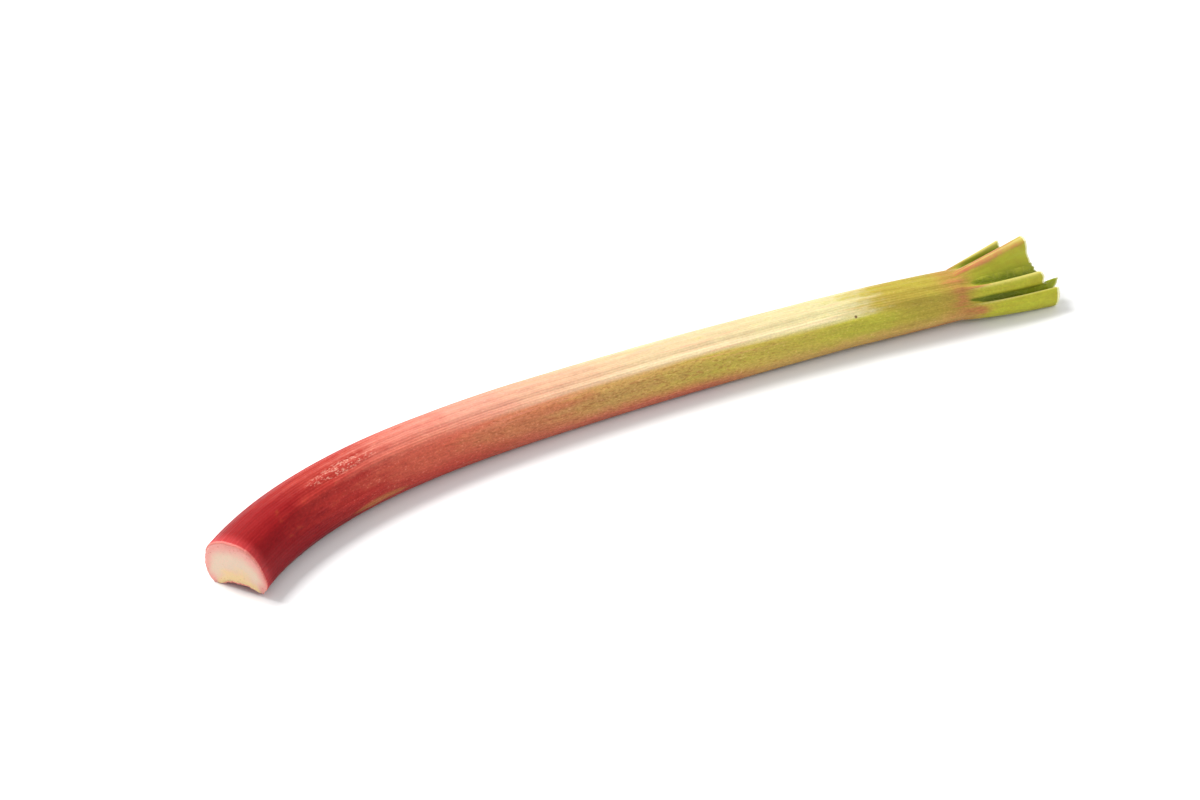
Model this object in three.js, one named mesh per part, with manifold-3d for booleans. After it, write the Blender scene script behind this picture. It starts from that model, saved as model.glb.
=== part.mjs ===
// A cut rhubarb stalk: one fleshy stem, crooked at its base, that opens at its head into five ribs
// with the remains of the leaf blade between them. It lies on its channelled side, back up.
import * as THREE from 'three';
import { mergeVertices } from 'three/addons/utils/BufferGeometryUtils.js';
import Module from 'manifold-3d';

// Driving dimensions in millimetres and degrees
const STEM_LENGTH = 349.3;    // along the stem, from the cut base to the fork
const CROOK_TURN = 34;        // how far the base end has turned sideways
const CROOK_SHARE = 0.57;     // share of the stem over which it turns
const CROOK_POWER = 3;        // how much of the turn is gathered at the very base
const BOW = 14.8;             // the stem's even bend from end to end, which the crook adds to
const ARCH_HEIGHT = 0.6;      // height of the low arch between the base and the belly
const NECK_LIFT = 3.4;        // how far the stem has risen at the fork
const LIFT_POWER = 3;         // how late it rises
const ROLL = 5.5;             // how far the stem leans on its rear rim
const ROLL_FADE = 0.15;       // share of the stem before the fork in which it comes level
const BASE_WIDTH = 26;
const NECK_WIDTH = 23.6;
const HEIGHT_RATIO = 0.79;    // height of the section for its width
const BASE_LEAN = 0.08;       // how far the section leans to the rear at the base, for its height
const LEAN_FADE = 0.15;       // share of the stem in which that lean dies away
const NECK_PINCH = 1.4;       // how much narrower the stem is at the fork
const PINCH_SHARE = 0.14;     // share of the stem over which it gets narrower
const BASE_CUT_TURN = -6;     // how far the base is cut askew, seen from above
const BASE_CUT_TILT = -2;     // how far the cut face looks up
const CUT_REACH = 40;         // length of stem over which the sections turn to meet the cut
const CHANNEL_AT_BASE = 2;    // depth of the channel along the underside
const CHANNEL_ALONG = 1.3;
const CHANNEL_FADE = 0.06;    // share of the stem in which the channel gets shallow
const STRINGS = 12;           // raised strings round the back
const STRING_HEIGHT = 0.45;
const STRING_FADE = 0.16;     // share of the stem in which the strings come up
const PRESSED = 0.25;         // depth of the flat spots on which the stalk rests
const REAR_TRIM = 2;          // how much shorter the rear ribs are
const TRIM_STEPS = 6;         // steps from the crown over which the rear gets shorter
const OPENING_POWER = 0.8;    // how soon past the fork the ribs spread
const HEAD_SHIFT = 5.6;       // how far the middle rib bears to the rear

// Counts of the grid on which the skin is laid
const BACK_STEPS = 48;
const CHANNEL_STEPS = BACK_STEPS / 2;
const STEM_STEPS = 36;
const HEAD_STEPS = 8;

// Half of the back's outline from the channel's edge to the crown, in half widths and heights
const HALF_BACK = [
  [0.81, 0.0],
  [0.98, 0.14],
  [1.0, 0.36],
  [0.91, 0.62],
  [0.70, 0.86],
  [0.36, 0.97],
  [0.0, 1.0],
];
const CHANNEL_EDGE = 0.68;    // the channel's rim, in half widths

// The head's outside at its cut ends, from an outer rib's lower edge to the middle rib's crest:
// the step round the back, the distance to the side, the height and the length past the fork
const HEAD_OUTSIDE = [
  // The outer rib
  [0, 20.3, -0.25, 43],
  [2, 22.0, 1.8, 43],
  [4, 22.7, 5.0, 43],
  [6, 22.3, 8.2, 43],
  [8, 20.8, 9.8, 43],
  [9, 19.3, 8.6, 43],
  // The blade between it and the inner rib
  [10, 18.4, 5.6, 43],
  [11, 17.0, 5.4, 44],
  [12, 15.7, 8.2, 46],
  // The inner rib
  [13, 17.0, 11.0, 38.8],
  [14, 16.8, 14.0, 38.8],
  [15, 15.2, 15.7, 38.3],
  [16, 13.2, 15.0, 37.8],
  // The blade between it and the middle rib
  [17, 12.0, 12.4, 38.3],
  [18, 10.2, 10.8, 39],
  [19, 8.0, 12.2, 39.5],
  [20, 5.6, 15.2, 39],
  // Half of the middle rib
  [21, 3.8, 18.8, 38.3],
  [22, 3.4, 22.2, 38.3],
  [23, 2.2, 24.4, 38.3],
  [24, 0.0, 25.1, 38.3],
];
// The head's inside at its cut ends, from an outer rib's lower edge to the middle
const HEAD_INSIDE = [
  [16.6, -0.25],
  [17.4, 1.8],
  [17.8, 3.8],
  [17.6, 4.7],
  [17.2, 4.8],
  [16.6, 4.3],
  [14.4, 6.6],
  [13.0, 9.0],
  [11.4, 9.7],
  [9.7, 9.5],
  [4.2, 13.6],
  [1.9, 16.8],
  [0.0, 17.6],
];

const wasm = await Module();
wasm.setup();
const { degToRad, lerp } = THREE.MathUtils;

// The stem's direction: an even bow, a crook that goes by a power of what is left of it, and the
// slope of a squared sine up to the middle and of a power from there to the fork
function directionAt(share) {
  const crook = CROOK_TURN * Math.max(0, 1 - share / CROOK_SHARE) ** CROOK_POWER;
  const turn = degToRad(crook + BOW * (0.5 - share));
  const arch = ((2 * Math.PI * ARCH_HEIGHT) / STEM_LENGTH) * Math.sin(4 * Math.PI * share);
  const steepest = (2 * LIFT_POWER * NECK_LIFT) / STEM_LENGTH;
  const slope = share < 0.5 ? arch : steepest * (2 * share - 1) ** (LIFT_POWER - 1);
  return new THREE.Vector3(Math.cos(turn), Math.sin(turn), slope).normalize();
}

// The lean on the rear rim, which fades before the fork
function rollAt(share) {
  return degToRad(ROLL) * Math.min(1, (1 - share) / ROLL_FADE);
}

// How far the lean takes the rear rim below the middle of the underside
function rimDropAt(share) {
  return (widthAt(share) / 2) * HALF_BACK[0][0] * Math.sin(rollAt(share));
}

// The stem's width: an even taper and a pinch that grows by the square towards the fork
function widthAt(share) {
  const pinched = Math.max(0, 1 - (1 - share) / PINCH_SHARE);
  return lerp(BASE_WIDTH, NECK_WIDTH, share) - NECK_PINCH * pinched ** 2;
}

// Stations along the middle of the stem's underside, each with its own directions
function stemStations() {
  const step = STEM_LENGTH / STEM_STEPS;
  const point = new THREE.Vector3(0, 0, rimDropAt(0) - PRESSED);
  const stations = [];
  for (let i = 0; i <= STEM_STEPS; i += 1) {
    const share = i / STEM_STEPS;
    const forward = directionAt(share);
    if (i > 0) {
      point.addScaledVector(directionAt((i - 0.5) / STEM_STEPS), step);
      point.z += rimDropAt(share) - rimDropAt((i - 1) / STEM_STEPS);
    }
    const side = new THREE.Vector3(-forward.y, forward.x, 0).normalize();
    side.applyAxisAngle(forward, -rollAt(share));
    const up = forward.clone().cross(side);
    stations.push({ share, distance: i * step, point: point.clone(), forward, side, up });
  }
  return stations;
}

// The back's outline in half widths, from the front channel edge over the crown to the rear one,
// evenly spaced, with the direction in which the strings stand out
function backOutline() {
  const half = HALF_BACK.map(([side, height]) => [side, height * 2 * HEIGHT_RATIO]);
  const front = half.map(([side, height]) => new THREE.Vector2(-side, height));
  const rear = half.slice(0, -1).reverse().map(([side, height]) => new THREE.Vector2(side, height));
  const curve = new THREE.SplineCurve([...front, ...rear]);
  curve.arcLengthDivisions = 2000;
  const outline = [];
  for (let i = 0; i <= BACK_STEPS; i += 1) {
    const place = curve.getPointAt(i / BACK_STEPS);
    const along = curve.getTangentAt(i / BACK_STEPS);
    outline.push({ place, out: new THREE.Vector2(-along.y, along.x) });
  }
  return outline;
}

// A point of a station's section, from its distance to the side and its height over the channel.
// Near the base the section leans to the rear by a share of that height.
function placeIn(station, side, height) {
  const lean = BASE_LEAN * Math.exp(-station.share / LEAN_FADE);
  return station.point.clone()
    .addScaledVector(station.side, side + lean * height)
    .addScaledVector(station.up, height);
}

// The back at one station. Each string is a cosine wave that grows from nothing at the base.
function backPoints(station, outline) {
  const half = widthAt(station.share) / 2;
  const grown = Math.min(1, station.share / STRING_FADE);
  return outline.map(({ place, out }, i) => {
    const wave = (Math.cos((2 * Math.PI * STRINGS * i) / BACK_STEPS) - 1) / 2;
    const relief = STRING_HEIGHT * grown * wave;
    return placeIn(station, place.x * half + out.x * relief, place.y * half + out.y * relief);
  });
}

// The channelled underside at one station: a parabola between its two rims
function channelPoints(station) {
  const half = (widthAt(station.share) / 2) * CHANNEL_EDGE;
  const depth = lerp(CHANNEL_ALONG, CHANNEL_AT_BASE, Math.exp(-station.share / CHANNEL_FADE));
  const points = [];
  for (let i = 0; i <= CHANNEL_STEPS; i += 1) {
    const across = (2 * i) / CHANNEL_STEPS - 1;
    points.push(placeIn(station, across * half, depth * (1 - across ** 2)));
  }
  return points;
}

// Slides the points along the stem so that the first section lies in the knife's plane
function meetCut(points, firstPoints, station, first) {
  const heading = Math.atan2(first.forward.y, first.forward.x) + degToRad(BASE_CUT_TURN);
  const tilt = degToRad(BASE_CUT_TILT);
  const normal = new THREE.Vector3(
    -Math.cos(tilt) * Math.cos(heading),
    -Math.cos(tilt) * Math.sin(heading),
    Math.sin(tilt),
  );
  const left = Math.max(0, 1 - station.distance / CUT_REACH);
  points.forEach((point, i) => {
    const away = firstPoints[i].clone().sub(first.point).dot(normal);
    point.addScaledVector(station.forward, (-away / first.forward.dot(normal)) * left);
  });
}

// The height, side and length of the head's outside at one step round the back
function headOutsideAt(step) {
  const mirrored = step > BACK_STEPS / 2;
  const column = mirrored ? BACK_STEPS - step : step;
  const after = HEAD_OUTSIDE.findIndex(([at]) => at >= column);
  const high = HEAD_OUTSIDE[after];
  const low = HEAD_OUTSIDE[Math.max(0, after - 1)];
  const part = high[0] === low[0] ? 0 : (column - low[0]) / (high[0] - low[0]);
  const [side, height, reach] = [1, 2, 3].map((k) => lerp(low[k], high[k], part));
  const trim = REAR_TRIM * Math.min(1, (BACK_STEPS / 2 - column) / TRIM_STEPS);
  return {
    side: mirrored ? side : -side,
    height,
    reach: mirrored ? reach - trim : reach,
  };
}

// The same for the inside, which is as long as the outside above it
function headInsideAt(step) {
  const mirrored = step > CHANNEL_STEPS / 2;
  const [side, height] = HEAD_INSIDE[mirrored ? CHANNEL_STEPS - step : step];
  return { side: mirrored ? side : -side, height, reach: headOutsideAt(2 * step).reach };
}

// One row of the head: each point runs on from the fork and blends to its place at the cut end
function headPoints(forkPoints, fork, tipAt, share) {
  const opened = share ** OPENING_POWER;
  return forkPoints.map((start, step) => {
    const tip = tipAt(step);
    const straight = start.clone().addScaledVector(fork.forward, tip.reach * share);
    const spread = new THREE.Vector3(
      fork.point.x + tip.reach * share,
      fork.point.y + HEAD_SHIFT + tip.side,
      tip.height,
    );
    return straight.lerp(spread, opened);
  });
}

// Every ring of points from the base to the tips: over the back and home along the underside
function stalkRings() {
  const stations = stemStations();
  const outline = backOutline();
  const first = stations[0];
  const firstBack = backPoints(first, outline);
  const firstChannel = channelPoints(first);
  const rings = stations.map((station) => {
    const back = backPoints(station, outline);
    const channel = channelPoints(station);
    meetCut(back, firstBack, station, first);
    meetCut(channel, firstChannel, station, first);
    return { back, channel };
  });
  const fork = stations.at(-1);
  const { back, channel } = rings.at(-1);
  for (let i = 1; i <= HEAD_STEPS; i += 1) {
    const share = i / HEAD_STEPS;
    rings.push({
      back: headPoints(back, fork, headOutsideAt, share),
      channel: headPoints(channel, fork, headInsideAt, share),
    });
  }
  return rings;
}

// Triangles of one end: a strip between the back and the underside, two steps to one
function endFaces(backStart, ringSize, flipped) {
  const back = (i) => backStart + i;
  const channel = (i) => backStart + ringSize - 1 - i;
  const faces = [];
  for (let i = 0; i < CHANNEL_STEPS; i += 1) {
    faces.push([back(2 * i), back(2 * i + 1), channel(i)]);
    faces.push([back(2 * i + 1), channel(i + 1), channel(i)]);
    faces.push([back(2 * i + 1), back(2 * i + 2), channel(i + 1)]);
  }
  return faces.map(([a, b, c]) => (flipped ? [a, c, b] : [a, b, c]));
}

// The rings' skin and both ends as one solid
function solidFromRings(rings) {
  const ringSize = BACK_STEPS + CHANNEL_STEPS + 2;
  const vertices = rings.flatMap(({ back, channel }) => [...back, ...channel.toReversed()]);
  const faces = endFaces(0, ringSize, false);
  for (let row = 0; row < rings.length - 1; row += 1) {
    for (let i = 0; i < ringSize; i += 1) {
      const next = (i + 1) % ringSize;
      const [a, b] = [row * ringSize + i, row * ringSize + next];
      faces.push([a, a + ringSize, b]);
      faces.push([b, a + ringSize, b + ringSize]);
    }
  }
  faces.push(...endFaces((rings.length - 1) * ringSize, ringSize, true));
  return new wasm.Manifold(new wasm.Mesh({
    numProp: 3,
    vertProperties: new Float32Array(vertices.flatMap((point) => point.toArray())),
    triVerts: new Uint32Array(faces.flat()),
  }));
}

// A closed three.js geometry as a solid
function solidFrom(geometry) {
  geometry.deleteAttribute('normal');
  geometry.deleteAttribute('uv');
  const merged = mergeVertices(geometry);
  return new wasm.Manifold(new wasm.Mesh({
    numProp: 3,
    vertProperties: merged.attributes.position.array,
    triVerts: new Uint32Array(merged.index.array),
  }));
}

// A solid as a three.js geometry
function geometryFrom(solid) {
  const mesh = solid.getMesh();
  const geometry = new THREE.BufferGeometry();
  geometry.setAttribute('position', new THREE.BufferAttribute(mesh.vertProperties, 3));
  geometry.setIndex(new THREE.BufferAttribute(mesh.triVerts, 1));
  return geometry;
}

// The stalk, trimmed to the surface where it rests and set down over the middle of its own box
function stalkGeometry() {
  const below = 20;
  const slab = new THREE.BoxGeometry(3 * STEM_LENGTH, STEM_LENGTH, below);
  slab.translate(STEM_LENGTH / 2, 0, -below / 2);
  const geometry = geometryFrom(solidFromRings(stalkRings()).subtract(solidFrom(slab)));
  geometry.computeBoundingBox();
  const { min, max } = geometry.boundingBox;
  geometry.translate(-(min.x + max.x) / 2, -(min.y + max.y) / 2, 0);
  geometry.computeVertexNormals();
  return geometry;
}

const skin = new THREE.MeshStandardMaterial({ color: 0xb9503c, roughness: 0.45, metalness: 0 });
const stalk = new THREE.Mesh(stalkGeometry(), skin);
stalk.name = 'rhubarb_stalk';

const part = new THREE.Group();
part.add(stalk);
export default part;
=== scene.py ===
"""A cut rhubarb stalk on a pale table.

The stalk follows the formulas of its CAD solid on a much finer grid, with fine strings, puckers at the
knife's cut and torn blade edges laid over them. All its sizes are in millimetres until a mesh is made.
"""

import logging
import math
from collections.abc import Callable
from dataclasses import dataclass
from enum import Enum
from typing import Any, Union

import bpy
import numpy as np
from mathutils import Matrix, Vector


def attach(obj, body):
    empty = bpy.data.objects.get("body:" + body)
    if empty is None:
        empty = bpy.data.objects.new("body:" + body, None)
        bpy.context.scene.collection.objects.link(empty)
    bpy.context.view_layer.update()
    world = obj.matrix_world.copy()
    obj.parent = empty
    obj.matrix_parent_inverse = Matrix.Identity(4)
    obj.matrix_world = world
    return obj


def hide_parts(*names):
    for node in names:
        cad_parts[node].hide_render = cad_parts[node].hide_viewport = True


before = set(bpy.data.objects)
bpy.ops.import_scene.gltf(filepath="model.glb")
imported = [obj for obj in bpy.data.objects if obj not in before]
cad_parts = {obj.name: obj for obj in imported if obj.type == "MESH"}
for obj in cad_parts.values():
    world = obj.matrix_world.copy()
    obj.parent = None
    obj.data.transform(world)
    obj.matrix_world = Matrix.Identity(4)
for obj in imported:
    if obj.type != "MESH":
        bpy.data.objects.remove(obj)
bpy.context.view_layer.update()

Array = np.ndarray
Number = Union[float, "Value"]
Sizes = tuple[float, float, float]
Piece = bpy.types.Object
Material = bpy.types.Material

NODE = "rhubarb_stalk"
BODY = "root"
MM = 0.001

log = logging.getLogger("rhubarb")


class Slot(Enum):
    """The record's material slots."""

    SKIN = "stalk_skin"
    FLESH = "cut_flesh"
    BLADE = "leaf_blade"


class Hue(Enum):
    """The stalk's colours, as linear red, green and blue."""

    TOP_CRIMSON = (0.25, 0.008, 0.009)
    TOP_RED = (0.37, 0.037, 0.026)
    TOP_CORAL = (0.55, 0.172, 0.123)
    TOP_SALMON = (0.58, 0.260, 0.182)
    TOP_PEACH = (0.58, 0.343, 0.213)
    TOP_CREAM = (0.59, 0.447, 0.255)
    TOP_STRAW = (0.59, 0.525, 0.270)
    SIDE_CRIMSON = (0.23, 0.004, 0.007)
    SIDE_RED = (0.38, 0.026, 0.021)
    SIDE_BRICK = (0.50, 0.097, 0.057)
    SIDE_COPPER = (0.50, 0.174, 0.077)
    SIDE_GOLD = (0.48, 0.288, 0.087)
    SIDE_OLIVE = (0.47, 0.371, 0.067)
    SIDE_GREEN = (0.43, 0.405, 0.047)
    LOW_CRIMSON = (0.19, 0.003, 0.007)
    LOW_RED = (0.40, 0.048, 0.035)
    LOW_ROSE = (0.48, 0.132, 0.077)
    LOW_TAN = (0.48, 0.307, 0.087)
    NECK = (0.38, 0.292, 0.043)
    RUST = (0.26, 0.070, 0.025)
    BROWN = (0.10, 0.035, 0.015)
    PINK = (0.62, 0.230, 0.165)
    # Painted highlight along the stem's ridge
    RIDGE_HIGHLIGHT_STRAW = (0.76, 0.640, 0.400)
    BUFF = (0.72, 0.480, 0.360)
    CUT_ROSE = (0.58, 0.060, 0.062)
    CUT_PINK = (0.78, 0.260, 0.220)
    RIB_GREEN = (0.45, 0.456, 0.038)
    RIB_OLIVE = (0.38, 0.350, 0.032)
    WEB_GREEN = (0.28, 0.325, 0.012)
    # Painted shade low in the leaf web
    PAINTED_WEB_SHADE = (0.15, 0.185, 0.005)
    # Painted shade in the head's grooves
    PAINTED_GROOVE_SHADE = (0.10, 0.130, 0.004)
    # Painted highlight on the head's crests, also the pale veins of the leaf blade
    CREST_HIGHLIGHT_AND_VEIN = (0.60, 0.510, 0.170)
    HEAD_ROSE = (0.45, 0.200, 0.070)
    CROTCH_RED = (0.43, 0.130, 0.062)
    PALE_RIM = (0.84, 0.820, 0.480)
    FLESH_CREAM = (0.75, 0.551, 0.406)
    FLESH_YELLOW = (0.82, 0.582, 0.270)
    FLESH_PINK = (0.80, 0.281, 0.244)
    TABLE = (0.86, 0.860, 0.860)


# Runs of colour over the stem's top, side and low edge: the share of its length and the colour there.
# The top run is paler than the side run, partly as painted highlight where the light falls on the top
TOP_RUN = (
    (0.05, Hue.TOP_CRIMSON), (0.16, Hue.TOP_RED), (0.26, Hue.TOP_CORAL), (0.34, Hue.TOP_SALMON),
    (0.45, Hue.TOP_PEACH), (0.60, Hue.TOP_CREAM), (0.83, Hue.TOP_STRAW), (0.91, Hue.NECK),
)
SIDE_RUN = (
    (0.07, Hue.SIDE_CRIMSON), (0.17, Hue.SIDE_RED), (0.29, Hue.SIDE_BRICK), (0.41, Hue.SIDE_COPPER),
    (0.53, Hue.SIDE_GOLD), (0.70, Hue.SIDE_OLIVE), (0.85, Hue.SIDE_GREEN), (0.95, Hue.NECK),
)
LOW_RUN = (
    (0.09, Hue.LOW_CRIMSON), (0.28, Hue.LOW_RED), (0.50, Hue.LOW_ROSE), (0.60, Hue.LOW_ROSE),
    (0.76, Hue.LOW_TAN),
)


def smooth_step(values: Array, low: float, high: float) -> Array:
    """Zero below low, one above high, and three parts squared less two cubed between them."""
    part = np.clip((values - low) / (high - low), 0.0, 1.0)
    return part * part * (3.0 - 2.0 * part)


def unit(vectors: Array) -> Array:
    """The vectors at a length of one."""
    return vectors / np.maximum(np.linalg.norm(vectors, axis=-1, keepdims=True), 1e-9)


def between(at: Array, places: Array, rows: Array) -> Array:
    """Rows of numbers at other places, evenly between the listed ones."""
    return np.stack([np.interp(at, places, column) for column in rows.T], axis=-1)


def cubic(part: Array, start: Array, end: Array, leaving: Array, arriving: Array) -> Array:
    """A cubic from start to end with the given slopes there."""
    return (
        (2 * part**3 - 3 * part**2 + 1) * start
        + (part**3 - 2 * part**2 + part) * leaving
        + (3 * part**2 - 2 * part**3) * end
        + (part**3 - part**2) * arriving
    )


def through(points: Array, at: Array) -> Array:
    """A smooth line through listed points: a cubic between each two, with slopes from their neighbours.

    Args:
        points: rows whose first number is the place and whose others are the values there.
        at: the places where values are wanted.

    Returns:
        One row of values for each place.
    """
    places, values = points[:, 0], points[:, 1:]
    slopes = np.gradient(values, places, axis=0)
    left = np.clip(np.searchsorted(places, at, side="right") - 1, 0, len(places) - 2)
    gap = (places[left + 1] - places[left])[:, None]
    part = (at - places[left])[:, None] / gap
    return cubic(part, values[left], values[left + 1], slopes[left] * gap, slopes[left + 1] * gap)


@dataclass(frozen=True)
class Wave:
    """A smooth random line: a sum of sine waves, each shorter and lower than the one before."""

    longest: float
    count: int
    seed: int

    def at(self, places: Array) -> Array:
        """Values between about -1 and 1.

        Args:
            places: where they are wanted.

        Returns:
            One value for each place.
        """
        phases = np.random.default_rng(self.seed).uniform(0.0, 2.0 * math.pi, self.count)
        order = np.arange(1, self.count + 1)
        waves = np.sin(2.0 * math.pi * places[..., None] * order**1.3 / self.longest + phases)
        return (waves / order**0.7).sum(axis=-1) / math.sqrt(self.count)


@dataclass(frozen=True)
class StemSizes:
    """The stem, in millimetres, degrees and shares of its length. Its start is its base's middle."""

    start_x: float = -188.97235
    start_y: float = -23.15914
    length: float = 349.3
    crook_turn: float = 34.0
    crook_share: float = 0.57
    crook_power: float = 3.0
    bow: float = 14.8
    arch_height: float = 0.6
    neck_lift: float = 3.4
    lift_power: float = 3.0
    roll: float = 5.5
    roll_fade: float = 0.15
    base_width: float = 26.0
    neck_width: float = 23.6
    height_ratio: float = 0.79
    base_lean: float = 0.08
    lean_fade: float = 0.15
    neck_pinch: float = 1.4
    pinch_share: float = 0.14
    cut_turn: float = -6.0
    cut_tilt: float = -2.0
    cut_reach: float = 40.0
    channel_at_base: float = 2.0
    channel_along: float = 1.3
    channel_fade: float = 0.06
    channel_edge: float = 0.68
    pressed: float = 0.25


@dataclass(frozen=True)
class ReliefSizes:
    """What stands out of the skin, in millimetres and shares of the stem's length or of its back."""

    strings: int = 12
    string_height: float = 0.30
    string_fade: float = 0.16
    fine_strings: int = 46
    fine_height: float = 0.10
    ridge_at: float = 0.335
    ridge_width: float = 0.034
    ridge_height: float = 0.50
    ridge_from: float = 0.28
    ridge_to: float = 0.85
    ridge_rise: float = 0.15
    ridge_fall: float = 0.04
    ridge_drift: float = 0.03
    drift_from: float = 0.62
    drift_to: float = 0.82
    string_drift: float = 0.004
    rim_fade: float = 0.02
    lump_height: float = 0.12
    pucker_height: float = 0.22
    pucker_reach: float = 6.0
    fold_height: float = 0.35
    fold_reach: float = 0.03
    drift: Wave = Wave(160.0, 4, 11)
    sway: Wave = Wave(90.0, 5, 12)
    uneven: Wave = Wave(11.0, 6, 13)
    lumps_along: Wave = Wave(70.0, 6, 14)
    lumps_round: Wave = Wave(7.0, 3, 15)
    puckers: Wave = Wave(9.0, 7, 16)
    folds: Wave = Wave(5.0, 5, 21)


@dataclass(frozen=True)
class HeadSizes:
    """The head, in millimetres and steps round the back."""

    length: float = 38.0
    rear_trim: float = 2.0
    trim_steps: float = 6.0
    opening_power: float = 0.8
    shift: float = 5.6
    ragged: float = 0.55
    ends: Wave = Wave(13.0, 7, 31)


# Half of the back's outline from the channel's edge to the crown, in half widths and heights
HALF_BACK = np.array(
    [[0.81, 0.0], [0.98, 0.14], [1.0, 0.36], [0.91, 0.62], [0.70, 0.86], [0.36, 0.97], [0.0, 1.0]]
)

# The head's outside at its cut ends: the step round the back, the distance to the side, the height
# and the length past the fork
HEAD_OUTSIDE = np.array(
    [
        [0, 20.3, -0.25, 43.0], [2, 22.0, 1.8, 43.0], [4, 22.7, 5.0, 43.0],
        [6, 22.3, 8.2, 43.0], [8, 20.8, 9.8, 43.0], [9, 19.3, 8.6, 43.0],
        [10, 18.4, 5.6, 43.0], [11, 17.0, 5.4, 44.0], [12, 15.7, 8.2, 46.0],
        [13, 17.0, 11.0, 38.8], [14, 16.8, 14.0, 38.8], [15, 15.2, 15.7, 38.3], [16, 13.2, 15.0, 37.8],
        [17, 12.0, 12.4, 38.3], [18, 10.2, 10.8, 39.0], [19, 8.0, 12.2, 39.5], [20, 5.6, 15.2, 39.0],
        [21, 3.8, 18.8, 38.3], [22, 3.4, 22.2, 38.3], [23, 2.2, 24.4, 38.3], [24, 0.0, 25.1, 38.3],
    ]
)

# The head's inside at its cut ends: the step round the channel, the distance to the side, the height
HEAD_INSIDE = np.array(
    [
        [0, 16.6, -0.25], [1, 17.4, 1.8], [2, 17.8, 3.8], [3, 17.6, 4.7], [4, 17.2, 4.8], [5, 16.6, 4.3],
        [6, 14.4, 6.6], [7, 13.0, 9.0], [8, 11.4, 9.7], [9, 9.7, 9.5], [10, 4.2, 13.6],
        [11, 1.9, 16.8], [12, 0.0, 17.6],
    ]
)

# Painted highlights along the head's crests: the step round the back and the half width in steps
CREST_HIGHLIGHTS = np.array([[8.4, 0.7], [15.4, 0.7], [24.0, 0.5]])

# Rosy patches of the head: millimetres past the fork, the step round the back, how far each reaches
# both ways, and its strength
ROSES = np.array(
    [
        [18.0, 23.2, 19.0, 0.9, 1.3], [-4.0, 8.0, 8.0, 9.0, 0.45], [6.0, 5.4, 6.0, 2.4, 0.9],
        [-0.5, 11.5, 3.0, 4.0, 0.4], [5.0, 15.8, 9.0, 1.0, 0.8], [-2.0, 20.5, 9.0, 3.5, 0.6],
        [-18.0, 0.5, 26.0, 1.6, 0.6],
    ]
)

# Steps of the listed points round the back, and the back's share of the way round
BACK_STEPS = 48.0
BACK_SHARE = 0.68

# Steps in which the path and the outline are added up
PATH_STEPS = 2000
OUTLINE_STEPS = 4000


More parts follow.
